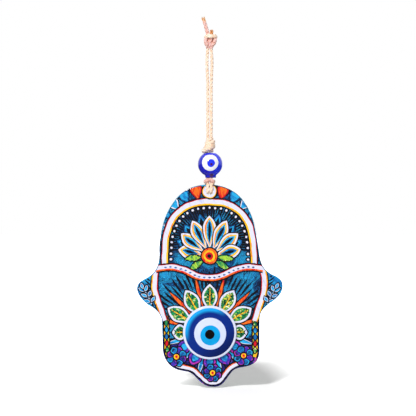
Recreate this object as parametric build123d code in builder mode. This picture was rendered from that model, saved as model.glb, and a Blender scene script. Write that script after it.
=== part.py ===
"""Hamsa hand ornament: a flat hand plate with an eye disc, hung by a doubled cord with one bead.

The origin is the place of the hook, between the two strands right under the top knot.
+Z is up, the plate faces -Y, and +X is to the right of someone who looks at the front.
All lengths are in millimetres.
"""

import os
from math import pi, radians, tan

from build123d import *

os.makedirs("parts", exist_ok=True)

# Cord
cord_diameter = 2.4
strand_gap = 0.2
cord_clearance = 0.15

# Lengths along the cord, from the hook down
eye_length = 25.0
run_length = 43.8
lower_knot_height = 9.9
bead_play = 0.15
neck_height = 5.1

# Hanging eye, where the strands bow out round the hook
eye_bow = 0.8
eye_bow_start = 3.0
eye_bow_depth = 11.0

# Pivots where the limp cord bends
bend_gap = 0.3
knot_bend_gap = 0.5
crown_neck_height = 1.6

# Top knot, with the two cut ends
top_knot_width = 10.2
top_knot_height = 8.9
top_knot_foot_width = 6.6
top_knot_head_width = 7.4
top_knot_shift = 0.6
long_tail_height = 13.2
long_tail_lean = 3.3
long_tail_rise = 3.2
long_tail_x = -1.6
short_tail_height = 3.8
short_tail_x = 1.5

# Lower knot
lower_knot_width = 10.0
lower_knot_foot_width = 7.0
lower_knot_head_width = 5.4
lower_knot_shift = -0.6

# What both knots share
wrap_tilt = 16.0
wrap_relief = 0.7
knot_corner_round = 1.0

# Bead
bead_diameter = 18.6
bead_flat = 1.15
bead_shift = 0.5
bead_bore_clearance = 0.15
bead_edge_round = 0.4
collar_wall = 1.45
collar_drop = 0.8
collar_height = 2.6
collar_shift = 0.9
bead_white_diameter = 12.3
bead_white_depth = 3.6
bead_white_rise = 0.8
bead_iris_diameter = 5.8
bead_iris_depth = 1.6
bead_iris_shift = 0.75

# Hand plate
hand_width = 108.6
hand_height = 150.0
plate_thickness = 4.0
plate_edge_round = 0.7
hole_inset = 5.0
hole_rim_chamfer = 0.3
coat_thickness = 0.12

# Hitch over the plate's top edge
hitch_bend_radius = 2.6
neck_bend_radius = 2.4
back_bend_radius = 3.0
arch_bend_radius = 2.4
arch_crown_radius = 2.0
neck_bend_drop = 0.8
back_bend_rise = 0.2
leg_spread = 0.15
leg_top_drop = 1.2
arch_half_width = 3.15
arch_shoulder_rise = 1.2
arch_shoulder_back = 0.35
arch_crown_half_width = 2.25
arch_crown_rise = 3.6
arch_crown_back = 0.95
neck_overlap = 0.3
turn_gap = 0.1

# Eye disc
disc_diameter = 39.8
disc_edge_thickness = 2.2
disc_thickness = 4.2
disc_edge_round = 0.8
disc_x = 0.2
disc_drop = 109.5
glue_inset = 2.4
glue_thickness = 0.3
layer_thickness = 0.7
rim_width = 1.7
white_diameter = 23.6
white_shift = (0.3, -0.7)
iris_diameter = 14.8
iris_shift = (0.45, -1.9)
pupil_diameter = 7.0
pupil_shift = (0.0, -1.2)

# Shares that shape the knots, and the share of a run that each of its bends may take
knot_low_share = 0.32
knot_high_share = 0.68
run_share = 0.45

# Difference of two headings under which they count as one
heading_tolerance = 1e-6

# Places that follow from the sizes
cord_radius = cord_diameter / 2
strand_x = (cord_diameter + strand_gap) / 2
eye_foot_z = -eye_length
knot_pivot_z = eye_foot_z - run_length
lower_knot_foot_z = knot_pivot_z - lower_knot_height
bead_top_z = lower_knot_foot_z - bead_play
bead_centre_z = bead_top_z + bead_flat - bead_diameter / 2
bead_bottom_z = bead_centre_z - bead_diameter / 2 - collar_drop
plate_top_z = bead_bottom_z - neck_height
hole_z = plate_top_z - hole_inset
disc_z = plate_top_z - disc_drop
bore_diameter = 2 * (strand_x + cord_radius + bead_bore_clearance)
collar_diameter = bore_diameter + 2 * collar_wall
hole_diameter = 2 * (strand_x + cord_radius + cord_clearance)
blue_diameter = disc_diameter - 2 * rim_width
glue_diameter = disc_diameter - 2 * glue_inset
front_y = -plate_thickness / 2
coat_y = front_y - coat_thickness
glue_y = coat_y - glue_thickness
hitch_front_y = coat_y - cord_clearance - cord_radius
hitch_back_y = -front_y + cord_clearance + cord_radius
crown_radius = strand_x + cord_radius
knot_cut_radius = crown_radius + knot_bend_gap
strand_cut_radius = cord_radius + bend_gap

# Outline of the hand, in shares of half its width and of its height, read downwards from the top
dome_top_shares = (-0.012, 0.0)
right_upper_shares = [
    (0.269, 0.022),
    (0.400, 0.053),
    (0.505, 0.102),
    (0.585, 0.162),
    (0.640, 0.247),
    (0.676, 0.325),
    (0.692, 0.364),
    (0.742, 0.409),
    (0.828, 0.439),
    (0.930, 0.458),
    (0.988, 0.479),
    (1.000, 0.506),
    (0.974, 0.536),
    (0.902, 0.566),
    (0.785, 0.598),
    (0.715, 0.626),
    (0.686, 0.667),
]
right_side_foot_shares = (0.684, 0.805)
right_lower_shares = [
    (0.671, 0.850),
    (0.632, 0.876),
    (0.560, 0.893),
    (0.462, 0.902),
    (0.392, 0.907),
    (0.331, 0.917),
    (0.283, 0.936),
    (0.232, 0.961),
    (0.177, 0.985),
    (0.118, 0.997),
]
left_upper_shares = [
    (-0.292, 0.022),
    (-0.412, 0.052),
    (-0.520, 0.101),
    (-0.606, 0.161),
    (-0.665, 0.247),
    (-0.687, 0.313),
    (-0.686, 0.352),
    (-0.701, 0.390),
    (-0.742, 0.424),
    (-0.805, 0.449),
    (-0.890, 0.468),
    (-0.962, 0.486),
    (-0.991, 0.511),
    (-0.974, 0.538),
    (-0.926, 0.565),
    (-0.851, 0.591),
    (-0.750, 0.615),
    (-0.683, 0.642),
    (-0.651, 0.676),
]
left_side_foot_shares = (-0.642, 0.790)
left_lower_shares = [
    (-0.624, 0.843),
    (-0.582, 0.875),
    (-0.523, 0.898),
    (-0.446, 0.914),
    (-0.352, 0.922),
    (-0.274, 0.928),
    (-0.222, 0.940),
    (-0.175, 0.957),
    (-0.108, 0.980),
    (-0.030, 0.996),
]
tip_shares = (0.059, 1.0)


def on_hand(shares):
    """A point of the plate's outline, from its shares."""
    across, down = shares
    return (across * hand_width / 2, -down * hand_height)


def hand_plane(y):
    """The upright plane that faces the viewer at depth y, with its origin at the plate's top edge."""
    return Plane(origin=(0, y, plate_top_z), x_dir=(1, 0, 0), z_dir=(0, -1, 0))


def disc_plane(y):
    """The upright plane of the eye disc at depth y."""
    return Plane(origin=(disc_x, y, disc_z), x_dir=(1, 0, 0), z_dir=(0, -1, 0))


def finish(part, name):
    """Labels a finished piece and writes it."""
    part.label = name
    export_step(part, f"parts/{name}.step")


def heading_between(before, here, after):
    """The direction at the middle one of three points, along the circle through them."""
    to_here = here - before
    from_here = after - here
    return (
        to_here.normalized() * from_here.length + from_here.normalized() * to_here.length
    ).normalized()


def two_arcs(start, start_heading, end, end_heading):
    """Two tangent arcs from one point and heading to another."""
    chord = end - start
    headings = start_heading + end_heading
    spread = 2 * (1 - start_heading.dot(end_heading))
    along = chord.dot(headings)
    square = chord.dot(chord)
    if spread > heading_tolerance:
        reach = (-along + (along**2 + spread * square) ** 0.5) / spread
    else:
        reach = square / (2 * along)
    meeting = (start + end + (start_heading - end_heading) * reach) / 2
    TangentArc(start, meeting, tangent=start_heading)
    TangentArc(end, meeting, tangent=-end_heading)


def smooth_line(points, first_heading, last_heading):
    """A smooth line of arcs through all the points."""
    places = [Vector(*on_hand(p)) for p in points]
    headings = [Vector(*first_heading).normalized()]
    for before, here, after in zip(places, places[1:], places[2:]):
        headings.append(heading_between(before, here, after))
    headings.append(Vector(*last_heading).normalized())
    for i in range(len(places) - 1):
        two_arcs(places[i], headings[i], places[i + 1], headings[i + 1])


def half_outline(upper, side_foot, lower):
    """One side of the hand, from the top of the dome to the tip of the middle finger."""
    side_head = on_hand(upper[-1])
    foot = on_hand(side_foot)
    across = 1 if side_head[0] > 0 else -1
    side = (foot[0] - side_head[0], foot[1] - side_head[1])
    smooth_line([dome_top_shares, *upper], (across, 0), side)
    Line(side_head, foot)
    smooth_line([side_foot, *lower, tip_shares], side, (-across, 0))


def bend_radii(points):
    """The radius at each inner point of a route: as large as its two runs allow."""
    places = [Vector(*p) for p in points]
    radii = []
    for before, here, after in zip(places, places[1:], places[2:]):
        shorter_run = min((here - before).length, (after - here).length)
        turn = (here - before).get_angle(after - here)
        radii.append(run_share * shorter_run / tan(radians(turn) / 2))
    return radii


def cord_tube(points, radii, name):
    """A round cord along straight runs that tangent arcs join."""
    with BuildPart() as tube:
        with BuildLine() as route:
            FilletPolyline(*points, radius=radii)
        with BuildSketch(Plane(origin=route.line @ 0, z_dir=route.line % 0)):
            Circle(cord_radius)
        sweep(path=route.wire())
    length = route.wire().length
    volume_share = tube.part.volume / (pi * cord_radius**2 * length)
    print(name, "bend radii", [round(r, 1) for r in radii])
    print(name, "length", round(length, 1), "volume share", round(volume_share, 4))
    return tube.part


def knot(foot_z, height, width, foot_width, head_width, shift):
    """A tight overhand knot in both strands: a round body with two slanted wraps on it."""
    core_width = width - 2 * wrap_relief
    low_z = foot_z + height * knot_low_share
    high_z = foot_z + height * knot_high_share
    head_z = foot_z + height
    with BuildPart() as body:
        with BuildSketch(Plane.XZ.shift_origin((shift, 0, 0))) as profile:
            with BuildLine():
                Polyline(
                    (0, foot_z),
                    (foot_width / 2, foot_z),
                    (core_width / 2, low_z),
                    (core_width / 2, high_z),
                    (head_width / 2, head_z),
                    (0, head_z),
                    close=True,
                )
            make_face()
            fillet(profile.vertices().group_by(Axis.X)[-1], radius=knot_corner_round)
        revolve(axis=Axis((shift, 0, 0), (0, 0, 1)))
        for wrap_z, tilt in ((low_z, wrap_tilt), (high_z, -wrap_tilt)):
            with Locations(Location((shift, 0, wrap_z), (tilt, tilt, 0))):
                Torus(width / 2 - cord_radius, cord_radius)
    return body.part


# Hand plate, drilled for the cord
with BuildPart() as hand_plate:
    with BuildSketch(hand_plane(front_y)):
        with BuildLine():
            half_outline(right_upper_shares, right_side_foot_shares, right_lower_shares)
            half_outline(left_upper_shares, left_side_foot_shares, left_lower_shares)
        make_face()
    extrude(amount=-plate_thickness)
    fillet(hand_plate.faces().filter_by(Axis.Y).edges(), radius=plate_edge_round)
    with BuildSketch(hand_plane(front_y)):
        with Locations((0, -hole_inset)):
            Circle(hole_diameter / 2)
    extrude(amount=-plate_thickness, mode=Mode.SUBTRACT)
    flat_faces = hand_plate.faces().filter_by(Axis.Y)
    hole_rims = [face.inner_wires()[0].edge() for face in flat_faces]
    chamfer(hole_rims, length=hole_rim_chamfer)
finish(hand_plate.part, "hand_plate")

# Printed coat over the plate's flat front
with BuildPart() as printed_coat:
    extrude(hand_plate.faces().sort_by(Axis.Y)[0], amount=coat_thickness)
finish(printed_coat.part, "printed_coat")

# Glue under the eye disc
with BuildPart() as eye_disc_glue:
    with BuildSketch(disc_plane(coat_y)):
        Circle(glue_diameter / 2)
    extrude(amount=glue_thickness)
finish(eye_disc_glue.part, "eye_disc_glue")

# Whole form of the eye disc, before it is divided into its colours
with BuildPart() as disc_form:
    profile_plane = Plane(origin=(disc_x, glue_y, disc_z), x_dir=(1, 0, 0), z_dir=(0, 0, -1))
    with BuildSketch(profile_plane):
        with BuildLine():
            Polyline(
                (0, disc_thickness),
                (0, 0),
                (disc_diameter / 2, 0),
                (disc_diameter / 2, disc_edge_thickness),
            )
            TangentArc(
                (0, disc_thickness),
                (disc_diameter / 2, disc_edge_thickness),
                tangent=(1, 0),
            )
        make_face()
    revolve(axis=Axis((disc_x, glue_y, disc_z), (0, -1, 0)))
    front_rim = disc_form.edges().filter_by(lambda edge: edge.is_closed).sort_by(Axis.Y)[0]
    fillet(front_rim, radius=disc_edge_round)

# Colours of the eye disc, each let into the one before it
disc_colours = [
    ("eye_disc_rim", disc_diameter, (0, 0)),
    ("eye_disc_blue", blue_diameter, (0, 0)),
    ("eye_disc_white", white_diameter, white_shift),
    ("eye_disc_iris", iris_diameter, iris_shift),
    ("eye_disc_pupil", pupil_diameter, pupil_shift),
]
for level, (name, diameter, shift) in enumerate(disc_colours):
    with BuildPart() as colour:
        add(disc_form.part)
        if level > 0:
            with BuildSketch(disc_plane(glue_y - level * layer_thickness)):
                with Locations(shift):
                    Circle(diameter / 2)
            extrude(amount=disc_thickness, mode=Mode.INTERSECT)
        if level < len(disc_colours) - 1:
            inner_diameter, inner_shift = disc_colours[level + 1][1:]
            with BuildSketch(disc_plane(glue_y - (level + 1) * layer_thickness)):
                with Locations(inner_shift):
                    Circle(inner_diameter / 2)
            extrude(amount=disc_thickness, mode=Mode.SUBTRACT)
    finish(colour.part, name)

# Whole form of the bead, with its bore and its collar
with BuildPart() as bead_form:
    with Locations((bead_shift, 0, bead_centre_z)):
        Sphere(bead_diameter / 2)
    with BuildSketch(Plane.XY.offset(bead_bottom_z)):
        with Locations((collar_shift, 0)):
            Circle(collar_diameter / 2)
    extrude(amount=collar_height)
    split(bisect_by=Plane.XY.offset(bead_top_z), keep=Keep.BOTTOM)
    outer_rims = bead_form.faces().filter_by(Axis.Z).edges()
    fillet(outer_rims, radius=bead_edge_round)
    with BuildSketch(Plane.XY.offset(bead_bottom_z)):
        Circle(bore_diameter / 2)
    extrude(amount=bead_diameter + collar_drop, mode=Mode.SUBTRACT)

# Colours of the bead, each let into the one before it
bead_colours = [
    ("bead_body", 0, 0, 0, 0),
    ("bead_white", bead_white_diameter, bead_white_depth, bead_shift, bead_white_rise),
    ("bead_iris", bead_iris_diameter, bead_iris_depth, bead_iris_shift, bead_white_rise),
]
for level, (name, diameter, depth, shift, rise) in enumerate(bead_colours):
    with BuildPart() as colour:
        add(bead_form.part)
        if level > 0:
            with BuildSketch(hand_plane(depth - bead_diameter / 2)):
                with Locations((shift, bead_centre_z + rise - plate_top_z)):
                    Circle(diameter / 2)
            extrude(amount=depth, mode=Mode.INTERSECT)
        if level < len(bead_colours) - 1:
            inner_diameter, inner_depth, inner_shift, inner_rise = bead_colours[level + 1][1:]
            with BuildSketch(hand_plane(inner_depth - bead_diameter / 2)):
                with Locations((inner_shift, bead_centre_z + inner_rise - plate_top_z)):
                    Circle(inner_diameter / 2)
            extrude(amount=inner_depth, mode=Mode.SUBTRACT)
    finish(colour.part, name)

# Top knot, which holds the two cut ends together
top_knot = knot(
    0, top_knot_height, top_knot_width, top_knot_foot_width, top_knot_head_width, top_knot_shift
)
finish(top_knot, "cord_top_knot")

# The two cut ends above the top knot
long_tail_points = [
    (long_tail_x, 0, top_knot_height),
    (long_tail_x, 0, top_knot_height + long_tail_rise),
    (long_tail_x - long_tail_lean, 0, top_knot_height + long_tail_height),
]
long_tail = cord_tube(long_tail_points, bend_radii(long_tail_points), "cord_tail_long")
finish(long_tail, "cord_tail_long")
with BuildPart() as short_tail:
    with BuildSketch(Plane.XY.offset(top_knot_height)):
        with Locations((short_tail_x, 0)):
            Circle(cord_radius)
    extrude(amount=short_tail_height)
finish(short_tail.part, "cord_tail_short")

# The two strands of the hanging eye, and the two of the run below it
for side, across in (("left", -1), ("right", 1)):
    eye_points = [
        (across * strand_x, 0, 0),
        (across * strand_x, 0, -eye_bow_start),
        (across * (strand_x + eye_bow), 0, -eye_bow_depth),
        (across * strand_x, 0, eye_foot_z),
    ]
    name = f"cord_eye_{side}"
    strand = cord_tube(eye_points, bend_radii(eye_points), name)
    with BuildPart() as eye_strand:
        add(strand)
        with Locations((across * strand_x, 0, eye_foot_z)):
            Sphere(strand_cut_radius, mode=Mode.SUBTRACT)
    finish(eye_strand.part, name)

    with BuildPart() as run_strand:
        with BuildSketch(Plane.XY.offset(knot_pivot_z)):
            with Locations((across * strand_x, 0)):
                Circle(cord_radius)
        extrude(amount=run_length)
        with Locations((across * strand_x, 0, eye_foot_z)):
            Sphere(cord_radius)
        with Locations((0, 0, knot_pivot_z)):
            Sphere(knot_cut_radius, mode=Mode.SUBTRACT)
    finish(run_strand.part, f"cord_run_{side}")

# Lower knot, with a round crown on which it tilts
lower_knot_body = knot(
    lower_knot_foot_z,
    lower_knot_height - crown_neck_height,
    lower_knot_width,
    lower_knot_foot_width,
    lower_knot_head_width,
    lower_knot_shift,
)
with BuildPart() as lower_knot:
    add(lower_knot_body)
    with BuildSketch(Plane.XY.offset(lower_knot_foot_z)):
        Circle(crown_radius)
    extrude(amount=lower_knot_height)
    with Locations((0, 0, knot_pivot_z)):
        Sphere(crown_radius)
finish(lower_knot.part, "cord_lower_knot")

# The two strands inside the bead
neck_face_z = bead_bottom_z + neck_overlap
for side, across in (("left", -1), ("right", 1)):
    with BuildPart() as core_strand:
        with BuildSketch(Plane.XY.offset(neck_face_z + turn_gap)):
            with Locations((across * strand_x, 0)):
                Circle(cord_radius)
        extrude(amount=lower_knot_foot_z - neck_face_z - turn_gap)
    finish(core_strand.part, f"cord_core_{side}")

# Hitch: both strands pass behind the plate and through its hole, and their bight arches in front
right_hitch_points = [
    (strand_x, 0, neck_face_z),
    (strand_x, 0, bead_bottom_z - neck_bend_drop),
    (strand_x, hitch_back_y, plate_top_z + back_bend_rise),
    (strand_x, hitch_back_y, hole_z),
    (strand_x, hitch_front_y, hole_z),
    (strand_x + leg_spread, hitch_front_y, plate_top_z - leg_top_drop),
    (arch_half_width, hitch_front_y + arch_shoulder_back, plate_top_z + arch_shoulder_rise),
    (arch_crown_half_width, hitch_front_y + arch_crown_back, plate_top_z + arch_crown_rise),
]
right_hitch_radii = [
    neck_bend_radius,
    back_bend_radius,
    hitch_bend_radius,
    hitch_bend_radius,
    back_bend_radius,
    arch_bend_radius,
    arch_crown_radius,
]
left_hitch_points = [(-x, y, z) for x, y, z in reversed(right_hitch_points)]
hitch = cord_tube(
    right_hitch_points + left_hitch_points,
    right_hitch_radii + right_hitch_radii[::-1],
    "cord_hitch",
)
finish(hitch, "cord_hitch")
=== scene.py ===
"""Hamsa hand ornament: a glass hand with a printed front, an eye disc, one bead and a doubled cord.

The frame's axes hold for every piece: +Z is up, the print faces -Y, +X is to the right of someone
who looks at the print, and the origin is the place of the hook. Lengths are in metres, apart from
those of a table or a drawing that says millimetres.
"""

import random
from contextlib import contextmanager
from math import asin, atan2, ceil, cos, floor, log, pi, radians, sin, sqrt, tau

import bmesh
import bpy
from bpy.props import FloatProperty, FloatVectorProperty, IntProperty, PointerProperty
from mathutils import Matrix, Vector, noise
from mathutils.kdtree import KDTree


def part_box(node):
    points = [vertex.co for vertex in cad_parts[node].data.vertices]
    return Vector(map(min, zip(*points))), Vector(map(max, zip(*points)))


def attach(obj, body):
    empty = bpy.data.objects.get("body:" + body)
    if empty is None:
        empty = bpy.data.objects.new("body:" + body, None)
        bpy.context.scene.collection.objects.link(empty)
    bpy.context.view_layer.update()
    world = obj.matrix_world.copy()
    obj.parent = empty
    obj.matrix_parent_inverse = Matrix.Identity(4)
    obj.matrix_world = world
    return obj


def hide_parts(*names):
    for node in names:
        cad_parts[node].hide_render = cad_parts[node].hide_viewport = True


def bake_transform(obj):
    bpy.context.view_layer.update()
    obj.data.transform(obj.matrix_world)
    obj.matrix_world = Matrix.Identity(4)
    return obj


bl_info = {
    "name": "Hamsa Hand Ornament",
    "version": (1, 0, 0),
    "blender": (4, 5, 0),
    "location": "View3D > Sidebar > Hamsa",
    "description": "Dresses the frame of a hanging glass hand with its print, eye disc, bead and cord",
    "category": "Add Mesh",
}

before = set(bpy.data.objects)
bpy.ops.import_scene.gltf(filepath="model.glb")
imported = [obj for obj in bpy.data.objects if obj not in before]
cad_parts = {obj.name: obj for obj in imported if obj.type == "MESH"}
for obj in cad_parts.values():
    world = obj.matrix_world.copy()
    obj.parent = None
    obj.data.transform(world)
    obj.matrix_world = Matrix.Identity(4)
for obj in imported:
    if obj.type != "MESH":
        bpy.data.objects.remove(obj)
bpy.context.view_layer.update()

MM = 0.001
GAP = 0.01 * MM

# Places that the frame gives
plate_low, plate_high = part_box("hand_plate")
plate_top = plate_high.z
coat_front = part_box("printed_coat")[0].y
glue_low, glue_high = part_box("eye_disc_glue")
disc_low, disc_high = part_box("eye_disc_rim")
disc_middle = (disc_low + disc_high) / 2
disc_back = disc_high.y
body_low, body_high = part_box("bead_body")
white_low, white_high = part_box("bead_white")
HOLE_OVER_HITCH = 1.2 * MM
hole_middle = Vector((0, 0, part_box("cord_hitch")[0].z + HOLE_OVER_HITCH))


def tint(code):
    """A colour in linear light, from its six-figure code."""
    parts = [int(code[i:i + 2], 16) / 255 for i in (0, 2, 4)]
    return tuple(p / 12.92 if p <= 0.04045 else ((p + 0.055) / 1.055) ** 2.4 for p in parts)


def size_prop(name, description, default):
    return FloatProperty(name=name, description=description, default=default, unit="LENGTH", precision=5)


def tone_prop(name, description, code):
    return FloatVectorProperty(
        name=name, description=description, default=tint(code), subtype="COLOR", size=3, min=0, max=1
    )


class CordSettings(bpy.types.PropertyGroup):
    diameter: size_prop("Diameter", "Across all the plies of the cord", 0.0024)
    lay: size_prop("Lay", "Length in which a ply goes once round the cord", 0.0092)
    plies: IntProperty(name="Plies", description="Yarns twisted into the cord", default=3, min=2)
    fibres: IntProperty(name="Fibres", description="Loose fibres on a centimetre", default=9, min=0)
    light: tone_prop("Natural yarn", "Natural yarn of the strands", "FFF3E4")
    # On the top wrap the pale yarn is the knot's lit side, painted light from above, beside the rosy lobes.
    pale: tone_prop("Pale yarn", "Bleached yarn of the lower knot and of the top wrap", "FCF2E4")
    # The rosy yarn is painted shade on the top knot's lobes and heart, on the hitch's arch under the bead
    # and on the strands inside the bead. On the long end it is the yarn's pink.
    rosy: tone_prop("Rosy yarn", "Rubbed yarn of the top knot, its tail and the hitch", "F2CFCE")
    tip: tone_prop("Cut tip", "Yarn at the cut tip of the long end", "F6D2A0")
    brown: tone_prop("Brown yarn", "Raw fibres of the short end", "E2A868")
    dark: tone_prop("Dark streaks", "Darker streaks in the yarn", "F0C8A8")
    # The crevice tone is painted shade in the grooves between the plies.
    crevice: tone_prop("Crevice", "Deep grooves between the plies", "BE8C70")


class BeadSettings(bpy.types.PropertyGroup):
    radius: size_prop("Radius", "Radius of the blue body", 0.00918)
    white_radius: size_prop("White radius", "Radius of the white dot", 0.00602)
    iris_radius: size_prop("Iris radius", "Radius of the blue dot in the white one", 0.0029)
    # The blue and the deep shade are painted light and painted shade across the bead.
    blue: tone_prop("Blue glass", "Bright side of the blue glass", "2438EC")
    deep_shade: tone_prop("Deep glass", "Thick, dark parts of the blue glass", "2020B4")
    white: tone_prop("White glass", "Dot of white glass", "F2F2F6")


class DiscSettings(bpy.types.PropertyGroup):
    groove: size_prop("Groove", "Depth of the groove where two colours meet", 0.00005)
    rim: tone_prop("Rim", "White rim", "D6DCF2")
    # The bright blue is a painted highlight on the ring's upper left edge, and the deep navy is painted
    # shade at its lower right.
    bright: tone_prop("Bright blue", "Blue ring on its upper left", "1AA0E6")
    navy: tone_prop("Navy", "Blue ring elsewhere", "0A2A80")
    deep_shade: tone_prop("Deep navy", "Blue ring at its lower right", "0A1C58")
    white: tone_prop("White", "White ring", "CFD9F8")
    iris: tone_prop("Iris", "Light blue iris", "0AA0E2")
    pupil: tone_prop("Pupil", "Black pupil", "0C0B0E")


class PlateSettings(bpy.types.PropertyGroup):
    wrap: FloatProperty(
        name="Wrap", description="How far the coat goes round the plate's rounded edge",
        default=radians(52), unit="ROTATION",
    )
    glass: tone_prop("Glass", "Faint green of plate glass", "DDF2EC")
    backing: tone_prop("Backing", "White base under the print", "E9E9E4")
    glue: tone_prop("Glue", "Clear glue under the disc", "E6E2D2")


class PrintSettings(bpy.types.PropertyGroup):
    outline: size_prop("Outline", "Width of the dark line round each motif", 0.001)
    wobble: size_prop("Wobble", "How far the hand-drawn lines stray", 0.0004)
    ink: tone_prop("Dark ink", "Lines between the motifs", "07080F")
    white: tone_prop("White", "Bands and petals", "DDDDF2")
    yellow: tone_prop("Yellow", "Bright edges", "FFC81E")
    orange: tone_prop("Orange", "Warm edges", "F5701A")
    red: tone_prop("Red", "Seeds and dabs", "D8141E")
    green: tone_prop("Green", "Leaves", "0B8A50")
    lime: tone_prop("Lime", "Lights on the leaves", "A8D43C")
    cyan: tone_prop("Cyan", "Light strokes of the ground", "24ACE4")
    blue: tone_prop("Blue", "Ground", "0A6CB4")
    navy: tone_prop("Navy", "Dark strokes of the ground", "0A2450")
    purple: tone_prop("Purple", "Ground of the fingertips", "3A2CB0")
    magenta: tone_prop("Magenta", "Accents of the fingertips", "D02CA4")


class StageSettings(bpy.types.PropertyGroup):
    distance: size_prop("Camera distance", "From the camera to the ornament", 1.0)
    field: size_prop("Field", "Width that the picture shows at the ornament", 0.3089)
    aim_x: size_prop("Aim across", "Middle of the picture, across", -0.0011)
    aim_z: size_prop("Aim up", "Middle of the picture, upwards", -0.1196)
    floor_gap: size_prop("Floor gap", "Air between the lowest finger and the floor", 0.0008)
    ambient: FloatProperty(name="Ambient", description="Light from all round", default=0.38, min=0)
    room: FloatProperty(
        name="Room", description="Brightness of the mirrored room in front", default=0.15, min=0,
    )
    key_power: FloatProperty(name="Key", description="Power of the key light", default=82, min=0)


SETTINGS = {
    "hamsa_cord": CordSettings,
    "hamsa_bead": BeadSettings,
    "hamsa_disc": DiscSettings,
    "hamsa_plate": PlateSettings,
    "hamsa_print": PrintSettings,
    "hamsa_stage": StageSettings,
}


# Helpers for objects

def new_object(name, data):
    thing = bpy.data.objects.new(name, data)
    bpy.context.scene.collection.objects.link(thing)
    return thing


def only(*pieces):
    """Selects these pieces and no others, and makes the first one active."""
    bpy.ops.object.select_all(action="DESELECT")
    for piece in pieces:
        piece.select_set(True)
    bpy.context.view_layer.objects.active = pieces[0]


def join_pieces(pieces):
    only(*pieces)
    bpy.ops.object.join()
    return bpy.context.object


def edit_all(piece, operator, **values):
    """Applies a mesh operator to the whole of a piece."""
    only(piece)
    bpy.ops.object.mode_set(mode="EDIT")
    bpy.ops.mesh.select_all(action="SELECT")
    operator(**values)
    bpy.ops.object.mode_set(mode="OBJECT")


@contextmanager
def faces_of(piece):
    """Opens a piece's mesh for changes to single faces and points, and puts it back."""
    mesh = bmesh.new()
    mesh.from_mesh(piece.data)
    mesh.normal_update()
    yield mesh
    mesh.to_mesh(piece.data)
    mesh.free()


def solidify(piece, **values):
    only(piece)
    modifier = piece.modifiers.new("Solidify", "SOLIDIFY")
    for key, value in values.items():
        setattr(modifier, key, value)
    bpy.ops.object.modifier_apply(modifier=modifier.name)


def close_up(piece):
    """Turns the faces of a closed piece outwards and shades its rounded parts smooth."""
    edit_all(piece, bpy.ops.mesh.normals_make_consistent, inside=False)
    bpy.ops.object.shade_smooth_by_angle(angle=radians(40))


def settle(piece, name, body, slot, node, *materials):
    """Names a finished piece, puts its place into its mesh, and tells its body and the node of the frame
    that it replaces. slot is not used."""
    only(piece)
    bpy.ops.object.transform_apply()
    piece.name = piece.data.name = name
    for material in materials:
        piece.data.materials.append(material)
    if body:
        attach(piece, body)
    if node:
        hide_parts(node)


def on_axis(middle, profile):
    """Circles that face -Y round one axis, from the place and radius of each."""
    return [((middle.x, y, middle.z), radius) for y, radius in profile]


def through_circles(circles, sides, upright=True):
    """A closed piece drawn through a row of circles, each a centre and a radius.

    The circles face -Y where upright is true, and +Z otherwise. The first and the last one are
    bridged where their radii are alike, and closed flat otherwise.
    """
    bpy.ops.object.select_all(action="DESELECT")
    (centre, radius), *others = circles
    bpy.ops.mesh.primitive_circle_add(
        vertices=sides, radius=radius, location=centre, rotation=(pi / 2 if upright else 0, 0, 0))
    piece = bpy.context.object
    bpy.ops.object.transform_apply()
    bpy.ops.object.mode_set(mode="EDIT")
    bpy.ops.mesh.select_all(action="SELECT")
    for next_centre, next_radius in others:
        step = Vector(next_centre) - Vector(centre)
        growth = next_radius / radius
        bpy.ops.mesh.extrude_edges_move(TRANSFORM_OT_translate={"value": step})
        bpy.ops.transform.resize(value=(growth, growth, growth), center_override=next_centre)
        centre, radius = next_centre, next_radius
    bpy.ops.mesh.select_all(action="DESELECT")
    bpy.ops.mesh.select_non_manifold(extend=False)
    if abs(circles[0][1] - circles[-1][1]) < GAP / 2:
        bpy.ops.mesh.bridge_edge_loops()
    else:
        bpy.ops.mesh.edge_face_add()
    bpy.ops.object.mode_set(mode="OBJECT")
    return piece


# Helpers for materials, which work in the node tree of the sockets that they get

def feed(socket, term):
    """Links another node's output to an input, or sets a plain value or colour on it."""
    if isinstance(term, bpy.types.NodeSocket):
        socket.id_data.links.new(term, socket)
    elif socket.type == "RGBA":
        socket.default_value = (*term, 1)
    else:
        socket.default_value = term


def add_node(near, kind, *terms, **values):
    """Adds a node beside a socket and gives its outputs. Terms go to its inputs in order, and values
    to the properties or inputs of their names."""
    node = near.id_data.nodes.new("ShaderNode" + kind)
    for key, value in values.items():
        if hasattr(node, key):
            setattr(node, key, value)
        else:
            feed(node.inputs[key], value)
    for socket, term in zip(node.inputs, terms):
        feed(socket, term)
    return node.outputs


def reckon(operation, first, second=0):
    """A Math node of two terms, at least one of which is another node's output."""
    near = first if isinstance(first, bpy.types.NodeSocket) else second
    return add_node(near, "Math", first, second, operation=operation)[0]


def plus(first, second):
    return reckon("ADD", first, second)


def minus(first, second):
    return reckon("SUBTRACT", first, second)


def times(first, second):
    return reckon("MULTIPLY", first, second)


def ease(value, low, high):
    """A smooth step from 0 at low to 1 at high."""
    return add_node(value, "MapRange", value, low, high, interpolation_type="SMOOTHSTEP")[0]


def blend(share, first, second):
    """Mixes two colours by a share."""
    node = share.id_data.nodes.new("ShaderNodeMix")
    node.data_type = "RGBA"
    for index, term in ((0, share), (6, first), (7, second)):
        feed(node.inputs[index], term)
    return node.outputs[2]


def clouds(place, scale, detail, **values):
    return add_node(place, "TexNoise", Vector=place, Scale=scale, Detail=detail, **values)[0]


def away_from(place, point):
    """The distance from a point."""
    return add_node(place, "VectorMath", place, point, operation="DISTANCE")["Value"]


def from_middle(place, middle):
    """The distances across, back and up from a middle."""
    local = add_node(place, "VectorMath", place, middle, operation="SUBTRACT")[0]
    return add_node(place, "SeparateXYZ", local)


def darker(colour, share):
    return tuple(part * share for part in colour)


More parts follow.
